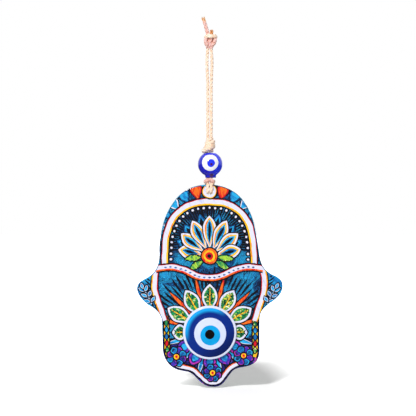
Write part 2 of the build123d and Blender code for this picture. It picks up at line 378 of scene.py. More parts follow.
def new_group(name, inputs, outputs):
    """A shader node group. An input's default is a number, a colour, or nothing for a vector."""
    tree = bpy.data.node_groups.new(name, "ShaderNodeTree")
    for title, default in inputs.items():
        kind = {float: "Float", tuple: "Color"}.get(type(default), "Vector")
        socket = tree.interface.new_socket(name=title, in_out="INPUT", socket_type="NodeSocket" + kind)
        if default is not None:
            socket.default_value = default
    for title, kind in outputs.items():
        tree.interface.new_socket(name=title, in_out="OUTPUT", socket_type="NodeSocket" + kind)
    return tree.nodes.new("NodeGroupInput").outputs, tree.nodes.new("NodeGroupOutput").inputs


def use_group(place, group, **values):
    """Places a group in a material and gives its outputs."""
    return add_node(place, "Group", node_tree=bpy.data.node_groups[group], Vector=place, **values)


def new_material(name, **values):
    """A material, its shader's inputs and the place on the piece that it reads."""
    material = bpy.data.materials.new(name)
    material.use_nodes = True
    shader = material.node_tree.nodes["Principled BSDF"].inputs
    for key, value in values.items():
        shader[key.replace("_", " ")].default_value = value
    return material, shader, add_node(material.node_tree, "TexCoord")["Object"]


def make_brush_group():
    """Strokes of a loaded brush: two colours that streak into each other."""
    given, made = new_group(
        "Brush Strokes",
        {"Vector": None, "Light": (1, 1, 1, 1), "Dark": (0, 0, 0, 1), "Size": 0.003, "Turn": 0.0,
         "Balance": 0.5, "Softness": 0.12},
        {"Color": "Color", "Height": "Float"},
    )
    vector, light, dark, size, turn, balance, softness = list(given)[:7]
    turned = add_node(vector, "VectorRotate", rotation_type="AXIS_ANGLE", Vector=vector, Axis=(0, 1, 0),
                      Angle=turn)[0]
    stretched = add_node(vector, "VectorMath", turned, (1, 1, 0.22), operation="MULTIPLY")[0]
    per_size = reckon("DIVIDE", 1.0, size)
    place = add_node(vector, "VectorMath", stretched, operation="SCALE", Scale=per_size)[0]
    broad = clouds(place, 1.0, 4.0, Roughness=0.62, Distortion=0.7)
    hairs = clouds(place, 5.5, 2.0, Roughness=0.5)
    height = plus(broad, times(hairs, 0.25))
    step = ease(minus(height, 0.125), minus(balance, softness), plus(balance, softness))
    feed(made["Color"], blend(step, dark, light))
    feed(made["Height"], height)


def make_unevenness_group():
    """The faint waves of a surface that was hot glass or poured lacquer."""
    given, made = new_group(
        "Surface Waves", {"Vector": None, "Scale": 120.0, "Strength": 0.1}, {"Normal": "Vector"})
    waves = clouds(given["Vector"], given["Scale"], 1.5, Roughness=0.4)
    bump = add_node(waves, "Bump", Distance=0.0004, Height=waves, Strength=given["Strength"])
    feed(made["Normal"], bump[0])


def make_yarn_group():
    """Twisted yarn. The vector's X goes once round a ply, and its Y runs along it in centimetres. The side
    of each ply that faces the cord's axis turns to the crevice colour as painted shade.
    """
    given, made = new_group(
        "Twisted Yarn",
        {"Vector": None, "Light": (1, 1, 1, 1), "Dark": (0.5, 0.4, 0.3, 1), "Crevice": (0.2, 0.1, 0.05, 1)},
        {"Color": "Color", "Height": "Float"},
    )
    across, along, _ = add_node(given[0], "SeparateXYZ", given["Vector"])
    slanted = plus(times(across, 14.0), times(along, -22.0))
    streaks_at = add_node(across, "CombineXYZ", slanted, times(along, 3.0))[0]
    streaks = clouds(streaks_at, 1.0, 3.0, Roughness=0.6)
    patches = clouds(add_node(across, "CombineXYZ", along)[0], 3.2, 3.0, Roughness=0.7)
    amount = plus(times(streaks, 0.55), times(patches, 0.45))
    yarn = blend(ease(amount, 0.38, 0.62), given["Light"], given["Dark"])
    # Painted shade: each ply darkens towards the crevice tone on its side that faces the cord's axis.
    inward = times(reckon("COSINE", times(across, tau)), -1)
    deep_shade = times(ease(inward, -0.05, 0.75), 0.5)
    feed(made["Color"], blend(deep_shade, yarn, given["Crevice"]))
    feed(made["Height"], streaks)


# Yarns of two tones: the lower tone, the upper tone, and the heights between which one turns into
# the other
TWO_TONES = {
    # The hitch's upper tone is painted shade on its arch, under the bead. On the long end, the rosy lower
    # tone is the yarn's pink.
    "hitch": ("light", "rosy", plate_top + 0.0002, plate_top + 0.0018),
    "end": ("rosy", "tip", 0.0175, 0.0205),
}


def yarn_of(kind):
    """The finish of one kind of yarn. Over the plate's top, the hitch's yarn turns to the rosy yarn, which
    is painted shade under the bead.
    """
    settings = bpy.context.scene.hamsa_cord
    name = f"yarn_{kind}"
    if name in bpy.data.materials:
        return bpy.data.materials[name]
    material, shader, place = new_material(
        name, Roughness=0.85, Specular_IOR_Level=0.25, Sheen_Weight=0.25)
    uv = add_node(place, "UVMap", uv_map="UVMap")[0]
    low_tone, high_tone, low, high = TWO_TONES.get(kind, (kind, kind, 0, 1))
    yarns = []
    for tone in (low_tone, high_tone):
        light = getattr(settings, tone)
        yarns.append(use_group(uv, "Twisted Yarn", Light=light,
                               Dark=[a * b for a, b in zip(light, settings.dark)],
                               Crevice=[a * b for a, b in zip(light, settings.crevice)]))
    height = add_node(place, "SeparateXYZ", place)[2]
    feed(shader["Base Color"], blend(ease(height, low, high), yarns[0]["Color"], yarns[1]["Color"]))
    bump = add_node(place, "Bump", Strength=0.5, Distance=0.00025, Height=yarns[0]["Height"])
    feed(shader["Normal"], bump[0])
    return material


def make_gloss(name):
    """A print under clear gloss, whose colour is still to be linked."""
    return new_material(name, Roughness=0.32, Specular_IOR_Level=0.2, Coat_Weight=0.8, Coat_Roughness=0.04)


def brush(place, light, dark, size, turn, balance, softness):
    """The colour of brush strokes."""
    return use_group(place, "Brush Strokes", Light=light, Dark=dark, Size=size, Turn=turn, Balance=balance,
                     Softness=softness)["Color"]


def make_paint(name, *strokes):
    """A printed colour under clear gloss."""
    material, shader, place = make_gloss(name)
    feed(shader["Base Color"], brush(place, *strokes))
    return material


def make_glass_colour(name, colour_of, strength=0.12):
    """Opaque coloured glass. colour_of gets the place on the piece and returns its colour."""
    material, shader, place = new_material(
        name, Roughness=0.12, Specular_IOR_Level=0.3, Coat_Weight=0.12, Coat_Roughness=0.03)
    feed(shader["Base Color"], colour_of(place))
    feed(shader["Normal"], use_group(place, "Surface Waves", Scale=160.0, Strength=strength)[0])
    return material


def clouded(colour, share, scale):
    """What gives glass of nearly one colour, with faint clouds that are darker by a share."""
    def colour_of(place):
        return blend(ease(clouds(place, scale, 2.0), 0.3, 0.7), darker(colour, share), colour)
    return colour_of


# Cord. Its routes are in millimetres, and for its right half where it has two

EYE_ROUTE = [(1.3, 0, 0), (1.3, 0, -3), (2.1, 0, -11), (1.3, 0, -25), (1.3, 0, -39), (1.3, 0, -68.8)]
LONG_TAIL_ROUTE = [(-1.3, 0, 6.6), (-1.6, 0, 8.9), (-1.6, 0, 12.1), (-4.9, 0, 22.1)]
SHORT_TAIL_ROUTE = [(1.4, 0, 6.6), (1.5, 0, 8.9), (1.6, 0, 10.8), (1.5, 0, 12.7)]
CORE_ROUTE = [(1.3, 0, -78.7), (1.3, 0, -87.7), (1.3, 0, -96.7)]
HITCH_ROUTE = [
    (1.3, 0, -96.8), (1.3, -0.2, -98), (1.35, -2.9, -100.2), (1.35, -3.47, -103), (1.35, -3.47, -108.3),
    (1.35, 3.35, -108.3), (1.8, 3.35, -103.2), (3, 2.9, -100), (3.1, 0, -99.6), (3, -3.2, -100.7),
    (1.9, -4.8, -98.6),
]

# Routes of the cords that bulge round the top knot, and the turns of the lower one, all in
# millimetres. A turn's values are its middle across and up, its radius, its slope, its thickness as
# a share of the cord's, and the degrees at which it starts
LOBES = [
    [(-1.3, 0, -0.8), (-1.5, -1.8, 1.0), (-2.7, -2.7, 3.0), (-3.0, -2.2, 5.6), (-1.9, 0.4, 6.8)],
    [(1.3, 0, -0.8), (1.9, -1.8, 1.0), (3.6, -2.7, 3.0), (4.6, -2.0, 5.6), (3.4, 0.6, 6.8)],
    [(0.1, -0.2, -0.4), (0.2, -1.3, 2.0), (0.9, -1.9, 4.2), (1.2, -1.2, 7.0)],
    [(-1.1, 0.9, -0.3), (-2.5, 2.5, 2.4), (-3.4, 2.3, 4.8), (-1.6, 0.4, 7.2)],
    [(1.3, 0.9, -0.2), (3.0, 2.5, 2.4), (4.8, 2.3, 4.8), (3.2, 0.4, 7.2)],
    [(0.1, 0.6, -0.2), (0.5, 2.2, 2.4), (0.9, 2.6, 4.8), (0.9, 0.4, 7.2)],
]
LOWER_TURNS = [
    ((0.0, -77.4), 2.0, 0.1, 1.05, 120),
    ((0.0, -69.0), 1.9, 0.18, 0.95, 60),
    ((-0.1, -70.9), 2.2, 0.3, 1.05, 240),
    ((-0.1, -74.0), 3.1, 0.5, 1.2, 200),
    ((-0.9, -75.7), 3.6, 0.36, 1.45, 75),
    ((0.4, -72.0), 2.5, 0.55, 1.35, 95),
]

# The two lengths of each strand, from the hook down: the CAD node that each replaces, the bodies
# that it joins, the heights between which it bends, and what its lower end goes into
STRAND_LENGTHS = {
    "upper": ("cord_eye", "hook_end", "cord_run", -0.019, -0.031, "object"),
    "lower": ("cord_run", "cord_run", "knot", -0.0595, -0.0698, "knot"),
}


def mirrored(points):
    return [(-x, *others) for x, *others in points]


def in_metres(points):
    return [(x * MM, y * MM, z * MM) for x, y, z in points]


def line_along(route):
    """The points of the smooth curve that a route controls."""
    data = bpy.data.curves.new("route", "CURVE")
    data.dimensions = "3D"
    data.resolution_u = 16
    spline = data.splines.new("NURBS")
    spline.points.add(len(route) - 1)
    for point, place in zip(spline.points, route):
        point.co = (*place, 1)
    spline.order_u = 3
    spline.use_endpoint_u = True
    holder = new_object("route", data)
    bpy.context.view_layer.update()
    mesh = bpy.data.meshes.new_from_object(holder)
    line = [vertex.co.copy() for vertex in mesh.vertices]
    bpy.data.objects.remove(holder)
    bpy.data.curves.remove(data)
    bpy.data.meshes.remove(mesh)
    return line


def evenly(line, step):
    """Places along a line, evenly spaced, with each one's direction and distance from the start."""
    reach = [0.0]
    for before, here in zip(line, line[1:]):
        reach.append(reach[-1] + (here - before).length)
    count = max(3, ceil(reach[-1] / step))
    places = []
    i = 0
    for k in range(count + 1):
        along = reach[-1] * k / count
        while i < len(line) - 2 and reach[i + 1] < along:
            i += 1
        run = line[i + 1] - line[i]
        share = (along - reach[i]) / max(run.length, 1e-9)
        places.append((line[i] + run * share, along))
    stations = []
    for k, (place, along) in enumerate(places):
        ahead = places[min(k + 1, count)][0]
        behind = places[max(k - 1, 0)][0]
        stations.append((place, (ahead - behind).normalized(), along))
    return stations


def swung(normal, binormal, angle):
    """The direction at an angle round a station of the rope."""
    return normal * cos(angle) + binormal * sin(angle)


def add_fibre(rope, root, outwards, forwards, length, radius):
    """One loose fibre: a thin, tapered three-sided prism that bends over."""
    vertices, faces, uvs = rope
    side = outwards.cross(forwards).normalized()
    first = len(vertices)
    for share, width in ((0.0, 1.0), (0.55, 0.8)):
        middle = root + outwards * length * share + forwards * length * 0.8 * share * share
        for k in range(3):
            vertices.append(middle + swung(side, forwards, tau * k / 3) * radius * width)
    vertices.append(root + outwards * length * 0.8 + forwards * length * 0.9)
    faces.append((first + 2, first + 1, first))
    for k in range(3):
        after = (k + 1) % 3
        faces.append((first + k, first + after, first + 3 + after, first + 3 + k))
        faces.append((first + 3 + k, first + 3 + after, first + 6))
    uvs.extend([(0.02, 0.5)] * (len(vertices) - len(uvs)))


def make_rope(kind, line, radius, turn, seed, fray=0.0, fibres=1.0, part=(0.0, 1.0)):
    """A rope of twisted plies of one kind of yarn, the first of which starts at an angle, turn. Its
    far end loosens over the length of fray.

    part is the stretch of the line that it covers, as shares of the line's length.
    """
    settings = bpy.context.scene.hamsa_cord
    dice = random.Random(seed)
    sides = 11
    stations = evenly(line, radius * 0.33)
    total = stations[-1][2]
    ply_radius = radius * 0.57
    rope = vertices, faces, uvs = [], [], []
    normal = stations[0][1].orthogonal().normalized()
    carried = []
    for place, heading, along in stations:
        normal = (normal - heading * normal.dot(heading)).normalized()
        carried.append((place, heading, normal, heading.cross(normal), along))
    start, end = (round(share * (len(stations) - 1)) for share in part)
    carried = carried[start:end + 1]
    for ply in range(settings.plies):
        first = len(vertices)
        for place, heading, normal, binormal, along in carried:
            angle = turn + tau * (ply / settings.plies + along / settings.lay)
            out = swung(normal, binormal, angle)
            round_it = swung(binormal, -normal, angle)
            uneven = 1 + 0.13 * noise.noise(Vector((along / radius * 0.9, ply * 5.1 + seed, turn)))
            loose = max(0.0, (along - total + fray) / fray) if fray else 0.0
            centre = place + out * (radius - ply_radius) * (1 + 0.9 * loose * loose)
            width = ply_radius * uneven * (1 - 0.8 * loose * loose)
            for k in range(sides):
                vertices.append(centre + swung(out, round_it, tau * k / sides) * width)
                uvs.append((k / sides, along * 100 + ply * 3.7 + seed))
        last = len(vertices) - sides
        for low in range(first, last, sides):
            for k in range(sides):
                after = (k + 1) % sides
                faces.append((low + k, low + after, low + sides + after, low + sides + k))
        faces.append(tuple(first + k for k in reversed(range(sides))))
        faces.append(tuple(last + k for k in range(sides)))
    for _ in range(round((carried[-1][4] - carried[0][4]) * 100 * settings.fibres * fibres)):
        place, heading, normal, binormal, along = dice.choice(carried[1:-1])
        out = swung(normal, binormal, dice.uniform(0, tau))
        forwards = heading * dice.choice((-1, 1))
        add_fibre(rope, place + out * radius * 0.8, out, forwards, dice.uniform(0.4, 1.1) * radius,
                  radius * 0.022)
    if fray:
        place, heading, normal, binormal, along = carried[-1]
        for _ in range(60):
            out = swung(normal, binormal, dice.uniform(0, tau))
            root = place - heading * radius * dice.uniform(0.4, 1.8) + out * radius * dice.uniform(0.1, 1.1)
            lean = (heading + out * dice.uniform(-0.1, 0.5)).normalized()
            add_fibre(rope, root, lean, out * dice.uniform(0.2, 0.6), dice.uniform(0.6, 1.5) * radius,
                      radius * 0.035)

    mesh = bpy.data.meshes.new("rope")
    mesh.from_pydata(vertices, [], faces)
    layer = mesh.uv_layers.new(name="UVMap")
    for polygon in mesh.polygons:
        places = [uvs[mesh.loops[i].vertex_index] for i in polygon.loop_indices]
        wraps = max(u for u, v in places) - min(u for u, v in places) > 0.5
        for i, (u, v) in zip(polygon.loop_indices, places):
            layer.data[i].uv = (u + 1 if wraps and u < 0.5 else u, v)
    mesh.validate()
    mesh.materials.append(yarn_of(kind))
    piece = new_object("rope", mesh)
    only(piece)
    bpy.ops.object.shade_smooth_by_angle(angle=radians(50))
    return piece


def make_turn(kind, middle, radius, slope, start, depth, thickness, **values):
    """A turn of cord round the cord's axis, both of whose ends are tucked in. The middle, across and
    up, and the radius are in millimetres."""
    sweep = 400
    count = ceil(sweep / 30)
    points = []
    for k in range(count + 1):
        share = k / count
        angle = radians(start) + radians(sweep) * share
        tuck = min(1.0, 0.35 + 2.2 * min(share, 1 - share) * count / 4)
        x = radius * tuck * cos(angle)
        drift = (share - 0.5) * 0.9
        points.append((middle[0] + x, radius * tuck * depth * sin(angle), middle[1] + slope * x + drift))
    return make_rope(kind, line_along(in_metres(points)), thickness, fibres=0.6, **values)


def knot_heart(kind, centre, radii):
    """What the wraps of a knot lie on: a rounded body of the same yarn, in millimetres."""
    bpy.ops.object.select_all(action="DESELECT")
    bpy.ops.mesh.primitive_uv_sphere_add(
        segments=24, ring_count=14, radius=1, location=in_metres([centre])[0])
    piece = bpy.context.object
    bpy.ops.transform.resize(value=[r * MM for r in radii])
    bpy.ops.object.transform_apply()
    for vertex in piece.data.vertices:
        vertex.co += vertex.normal * noise.noise(vertex.co * 900) * 0.3 * MM
    bpy.ops.object.shade_smooth()
    piece.data.materials.append(yarn_of(kind))
    return piece


class HAMSA_OT_strands(bpy.types.Operator):
    """Lays the two strands from the top knot down to the lower knot"""
    bl_idname = "hamsa.strands"
    bl_label = "Strands"

    def execute(self, context):
        diameter = context.scene.hamsa_cord.diameter
        for side, route, turn in (("left", mirrored(EYE_ROUTE), 0.4), ("right", EYE_ROUTE, 1.9)):
            line = line_along(in_metres(route))
            places = [station[0] for station in evenly(line, MM)]
            middle, last = len(places) // 2, len(places) - 1
            parts = ((0, middle), (middle, last))
            for (height, bend), (start, end) in zip(STRAND_LENGTHS.items(), parts):
                node, above, below, bend_from, bend_to, far_end = bend
                strand = make_rope("light", line, diameter * 0.49, turn, seed=len(side),
                                   part=(start / last, end / last))
                settle(strand, f"cord_strand_{side}_{height}", None, "cord", f"{node}_{side}")
                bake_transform(strand)
        return {"FINISHED"}


class HAMSA_OT_top_knot(bpy.types.Operator):
    """Ties the top knot and leaves its two cut ends above it"""
    bl_idname = "hamsa.top_knot"
    bl_label = "Top knot"

    def execute(self, context):
        radius = context.scene.hamsa_cord.diameter / 2
        wraps = []
        # The lobes and the heart get the rosy yarn as painted shade under the top wraps, which get the pale
        # yarn as the knot's lit side.
        for k, lobe in enumerate(LOBES):
            line = line_along(in_metres(lobe))
            wraps.append(make_rope("rosy", line, radius * 1.12, k * 1.3, seed=22 + k, fibres=0.6))
        for k, (size, height, slope) in enumerate(((3.95, 7.3, -0.05), (3.2, 8.2, 0.06))):
            wraps.append(make_turn("pale", (1.0, height), size, slope, 60 + 160 * k, 0.8, radius * 1.05,
                                   turn=0.3, seed=20 + k))
        wraps.append(knot_heart("rosy", (0.7, 0, 4.4), (2.6, 2.0, 4.1)))
        settle(join_pieces(wraps), "cord_knot_top", "hook_end", "cord", "cord_top_knot")
        for length, route, kind, thickness, turn, seed, fray in (
            ("long", LONG_TAIL_ROUTE, "end", 1.2, 0.8, 31, 0.0045),
            ("short", SHORT_TAIL_ROUTE, "brown", 1.15, 2.1, 32, 0.003),
        ):
            tail = make_rope(kind, line_along(in_metres(route)), radius * thickness, turn, seed, fray)
            settle(tail, f"cord_end_{length}", "hook_end", "cord", f"cord_tail_{length}")
        return {"FINISHED"}


class HAMSA_OT_lower_knot(bpy.types.Operator):
    """Ties the knot above the bead, and leads both strands down through the bead"""
    bl_idname = "hamsa.lower_knot"
    bl_label = "Lower knot"

    def execute(self, context):
        radius = context.scene.hamsa_cord.diameter / 2
        wraps = []
        for k, (middle, size, slope, thickness, start) in enumerate(LOWER_TURNS):
            wraps.append(make_turn("pale", middle, size, slope, start, 0.95, radius * thickness,
                                   turn=k * 0.9, seed=41 + k))
        wraps.append(knot_heart("pale", (-0.2, 0, -73.6), (3.5, 3.3, 4.6)))
        settle(join_pieces(wraps), "cord_knot_lower", "knot", "cord", "cord_lower_knot")
        # The strands inside the bead take the rosy yarn as painted shade.
        for side, route in (("left", mirrored(CORE_ROUTE)), ("right", CORE_ROUTE)):
            core = make_rope("rosy", line_along(in_metres(route)), radius, 0.7, seed=51, fibres=0)
            settle(core, f"cord_in_bead_{side}", "knot", "cord", f"cord_core_{side}")
        return {"FINISHED"}


class HAMSA_OT_hitch(bpy.types.Operator):
    """Hitches the cord through the plate's hole"""
    bl_idname = "hamsa.hitch"
    bl_label = "Hitch"

    def execute(self, context):
        line = line_along(in_metres(HITCH_ROUTE + mirrored(HITCH_ROUTE)[::-1]))
        # Below the plate's top the yarn is natural. Above it, the yarn is rosy as painted shade of the bead
        # on the arch.
        hitch = make_rope("hitch", line, context.scene.hamsa_cord.diameter * 0.56, 0.2, seed=61, fibres=0.8)
        settle(hitch, "cord_hitch_rope", "hand", "cord", "cord_hitch")
        return {"FINISHED"}


# Bead

def ball_depth(place, centre, radius):
    """How far in front of a ball's centre its surface lies, at a place seen from the front."""
    return sqrt(max(radius**2 - (place.x - centre.x)**2 - (place.z - centre.z)**2, 0))


def shade_bead(place):
    """Blue glass with soft swirls, with painted light on its right and painted shade on its left. A dark
    patch on its collar is painted shade of the bore and the cord in it.
    """
    bead = bpy.context.scene.hamsa_bead
    across, _, up = from_middle(place, (body_low + body_high) / 2)
    # Painted light and shade: the glass is lighter to the right and upwards and darker to the left, with
    # swirls of its own.
    side = plus(times(across, 55.0), times(up, 18.0))
    amount = plus(side, clouds(place, 170.0, 3.0, Distortion=1.2))
    blue = blend(ease(amount, 0.1, 0.95), bead.deep_shade, bead.blue)
    # Painted shade: a dark patch on the front of the collar, where the bore and the cord in it show through
    # the glass.
    in_collar = (0.0016, -0.0046, body_low.z + 1.5 * MM)
    return blend(ease(away_from(place, in_collar), 0.0006, 0.0026), tint("4A3058"), blue)


def shade_bead_iris(place):
    """Blue glass with one small dark bubble."""
    bubble = away_from(place, (0.0014, -0.0093, -0.0874))
    return blend(ease(bubble, 0.0005, 0.0013), tint("4A1030"), bpy.context.scene.hamsa_bead.blue)


def glass_dot(ball, centre, dot_radius, surface_radius, bottom, wave):
    """A dot of glass let into the front of the bead, with a rounded, slightly wavy edge."""
    step = 0.05 * MM
    tiny = 0.1 * MM
    profile = [(bottom, 2 * tiny), (bottom, dot_radius * 0.98), (bottom - step, dot_radius)]
    rings = 9
    for k in range(rings + 1):
        profile.append((bottom - (k + 2) * step, (dot_radius - tiny) * (1 - k / rings) + tiny))
    sides = 72
    dot = through_circles(on_axis(centre, profile), sides)
    for i, vertex in enumerate(dot.data.vertices):
        ring = i // sides
        arm = vertex.co - centre
        angle = atan2(arm.z, arm.x)
        swing = 1 + wave * (sin(3 * angle + 0.7) + 0.6 * sin(5 * angle + 2))
        vertex.co.x = centre.x + arm.x * swing
        vertex.co.z = centre.z + arm.z * swing
        if ring >= 2:
            sunk = {2: 0.4 * MM, 3: 0.03 * MM}.get(ring, 0)
            vertex.co.y = -ball_depth(vertex.co, ball, surface_radius - sunk)
    close_up(dot)
    return dot


class HAMSA_OT_bead(bpy.types.Operator):
    """Makes the blue bead with its bore, its collar and its eye"""
    bl_idname = "hamsa.bead"
    bl_label = "Bead"

    def execute(self, context):
        bead = context.scene.hamsa_bead
        radius = bead.radius
        ball_under_top = 8.15 * MM
        ball = Vector(((white_low.x + white_high.x) / 2, 0, body_high.z - ball_under_top))
        # The collar and the mouth in millimetres: the middle across, the height over the bead's foot
        # or its top, and the radius
        bore = 2.65
        collar = [
            (0, 0.4, bore), (0.1, 0.06, bore + 0.25), (0.85, 0, 3.7), (0.9, 0.12, 3.98), (0.9, 0.5, 4.1),
            (0.9, 1.1, 4.08), (0.8, 1.7, 4.2), (0.65, 2.1, 4.55),
        ]
        mouth = [(0.45, -0.02, 4.2), (0.35, 0, 3.6), (0.08, -0.05, bore + 0.3), (0, -0.35, bore)]
        circles = [((x * MM, 0, body_low.z + z * MM), r * MM) for x, z, r in collar]
        lowest, highest = (asin(z * MM / radius) for z in (-7.45, 7.9))
        rings = 26
        for k in range(rings + 1):
            angle = lowest + (highest - lowest) * k / rings
            circles.append(((ball.x, 0, ball.z + radius * sin(angle)), radius * cos(angle)))
        circles += [((x * MM, 0, body_high.z + z * MM), r * MM) for x, z, r in mouth]
        circles += [((0, 0, ball.z), (bore + 0.001) * MM), ((0, 0, body_low.z + 2 * MM), bore * MM)]
        body = through_circles(circles, 96, upright=False)
        lumps = 0.1 * MM
        drawn_in = 0.06 * MM
        for vertex in body.data.vertices:
            if (vertex.co - ball).length > radius * 0.6:
                arm = Vector((vertex.co.x - ball.x, vertex.co.y, 0))
                vertex.co -= arm.normalized() * (noise.noise(vertex.co * 130) * lumps + drawn_in)
        close_up(body)
        settle(body, "bead_glass", "bead", "bead_blue_glass", "bead_body",
               make_glass_colour("bead_blue_glass", shade_bead))

        centre = Vector((ball.x, 0, (white_low.z + white_high.z) / 2))
        aside = Vector((0.6 * MM, 0, -0.3 * MM))
        # A dot's sizes are its middle, its radius, the radius of the ball that its face lies on, the
        # depth at which it ends, and the waviness of its edge
        for tone, node, slot, colour_of, *sizes in (
            ("white", "bead_white", "white_glass", clouded(bead.white, 0.93, 300),
             centre, bead.white_radius, 9.24 * MM, -6 * MM, 0.008),
            ("blue", "bead_iris", "bead_blue_glass", shade_bead_iris,
             centre + aside, bead.iris_radius, 9.29 * MM, -8 * MM, 0.014),
        ):
            settle(glass_dot(ball, *sizes), f"bead_dot_{tone}", "bead", slot, node,
                   make_glass_colour(f"{node}_glass", colour_of))
        return {"FINISHED"}


# Hand plate and its coat. A face is flat where its normal's Y is beyond this

FLAT = 0.9995


def copy_of_plate():
    """A merged copy of the frame's plate, as a new piece."""
    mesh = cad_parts["hand_plate"].data.copy()
    mesh.materials.clear()
    piece = new_object("plate_copy", mesh)
    edit_all(piece, bpy.ops.mesh.remove_doubles, threshold=1e-6)
    while mesh.uv_layers:
        mesh.uv_layers.remove(mesh.uv_layers[0])
    return piece


def sharpen_flat_borders(piece):
    """Keeps the shading of the flat faces apart from that of the rounded edge."""
    with faces_of(piece) as mesh:
        for face in mesh.faces:
            face.smooth = True
        for edge in mesh.edges:
            flat = [abs(face.normal.y) > FLAT for face in edge.link_faces]
            edge.smooth = len(flat) == 2 and flat[0] == flat[1]


def glass_material():
    tone = bpy.context.scene.hamsa_plate.glass
    material, shader, place = new_material("plate_glass", Roughness=0.02, IOR=1.5, Transmission_Weight=1.0)
    veil = ease(clouds(place, 45.0, 1.0), 0.3, 0.7)
    feed(shader["Base Color"], blend(veil, darker(tone, 0.97), tone))
    feed(shader["Normal"], use_group(place, "Surface Waves", Scale=60.0, Strength=0.05)[0])
    return material


def print_ground_material():
    """The painted ground: blue and black strokes, plainer thumbs and violet fingertips."""
    ink = bpy.context.scene.hamsa_print
    material, shader, place = make_gloss("print_ground")
    across, _, up = add_node(place, "SeparateXYZ", place)
    veil = clouds(place, 55.0, 3.0, Distortion=0.6)
    swirl = times(veil, 5.0)

    blue = brush(place, ink.cyan, ink.blue, 0.0045, swirl, 0.46, 0.06)
    shade = brush(place, ink.blue, ink.navy, 0.003, swirl, 0.52, 0.05)
    ground = blend(ease(veil, 0.42, 0.48), shade, blue)
    thumb = brush(place, ink.cyan, tint("0A64AE"), 0.008, 0.95, 0.5, 0.2)
    on_thumb = ease(reckon("ABSOLUTE", across), 0.038, 0.043)
    ground = blend(on_thumb, ground, thumb)

    violet = brush(place, ink.purple, tint("101A66"), 0.003, swirl, 0.5, 0.05)
    rose = brush(place, ink.magenta, tint("1C6CD0"), 0.003, -0.9, 0.54, 0.05)
    tips = blend(ease(clouds(place, 120.0, 2.0), 0.54, 0.58), violet, rose)
    tips_from = plate_top - 0.111
    wavy = plus(up, times(veil, 0.01))
    ground = blend(minus(1.0, ease(wavy, tips_from, tips_from + 0.004)), ground, tips)

    black = use_group(place, "Brush Strokes", Size=0.0024, Turn=swirl)["Height"]
    plain = minus(0.95, times(on_thumb, 0.8))
    feed(shader["Base Color"], blend(times(ease(black, 0.615, 0.66), plain), ground, ink.ink))
    return material


class HAMSA_OT_plate(bpy.types.Operator):
    """Makes the glass plate with its rounded, polished edge"""
    bl_idname = "hamsa.plate"
    bl_label = "Glass plate"

    def execute(self, context):
        plate = copy_of_plate()
        sharpen_flat_borders(plate)
        settle(plate, "hand_glass", "hand", "plate_glass", "hand_plate", glass_material())
        return {"FINISHED"}


class HAMSA_OT_coat(bpy.types.Operator):
    """Lays the printed coat over the front and round its edge"""
    bl_idname = "hamsa.coat"
    bl_label = "Printed coat"

    def execute(self, context):
        settings = context.scene.hamsa_plate
        thickness = plate_low.y - coat_front
        whole = thickness + GAP
        hole_reach = 2.94 * MM
        coat = copy_of_plate()
        with faces_of(coat) as mesh:
            spare = []
            for face in mesh.faces:
                middle = face.calc_center_median()
                in_hole = Vector((middle.x, 0, middle.z - hole_middle.z)).length < hole_reach
                if -face.normal.y < cos(settings.wrap) or in_hole and abs(face.normal.y) < 0.99:
                    spare.append(face)
            bmesh.ops.delete(mesh, geom=spare, context="FACES")
        solidify(coat, thickness=whole, offset=(thickness - GAP) / whole, use_even_offset=True, use_rim=True)
        backing, shader, place = new_material("print_backing", Roughness=0.5)
        feed(shader["Base Color"], clouded(settings.backing, 0.9, 400)(place))
        for face in coat.data.polygons:
            face.material_index = 0 if face.normal.y < 0.2 else 1
        sharpen_flat_borders(coat)
        settle(coat, "print_coat", "hand", "print", "printed_coat", print_ground_material(), backing)
        return {"FINISHED"}


# Motifs of the print, drawn in millimetres across and down from the middle of the plate's top edge

# Thickness of a layer of ink, how near points are merged, the least area of a face in square metres,
# and the side of the squares in which the levels of the paint are kept
LAYER = 0.008 * MM
MERGE = 0.001 * MM
LEAST_AREA = 1e-10
CELL = 0.5

# Middles and routes
DISC_AT = (disc_middle.x / MM, (plate_top - disc_middle.z) / MM)
FAN_AT = (0.0, 53.0)
ARCH_AT = (0.0, 44.0)
HOLE_AT = (0.0, 5.0)
ARCH = [
    (-33.2, 62), (-33.4, 44), (-29.5, 27), (-17.5, 15.0), (0, 11.9), (17.5, 15.0), (29.3, 27), (33.0, 44),
    (33.2, 62),
]
STRING = [
    (-28.6, 64), (-28.8, 45), (-25, 29.8), (-15.2, 19.2), (0, 16.6), (15.2, 19.2), (25, 29.8), (28.8, 45),
    (28.6, 64),
]
GARLAND = [
    (-40, 62.5), (-30, 60.5), (-19, 62.8), (-9, 68.2), (0, 69.4), (9, 68.2), (19, 62.8), (30, 60.5),
    (40, 62.5),
]
THUMB = [(38.6, 59), (40.6, 68), (41.2, 76), (39.0, 85), (35.7, 93), (33.4, 101)]
THUMB_STEM = [(42.8, 88.5), (45.6, 83.0), (48.8, 77.0)]
FLOWERS = [((-24.4, 127.6), 7.4), ((25.2, 126.8), 7.4), ((2.4, 139.6), 6.6)]


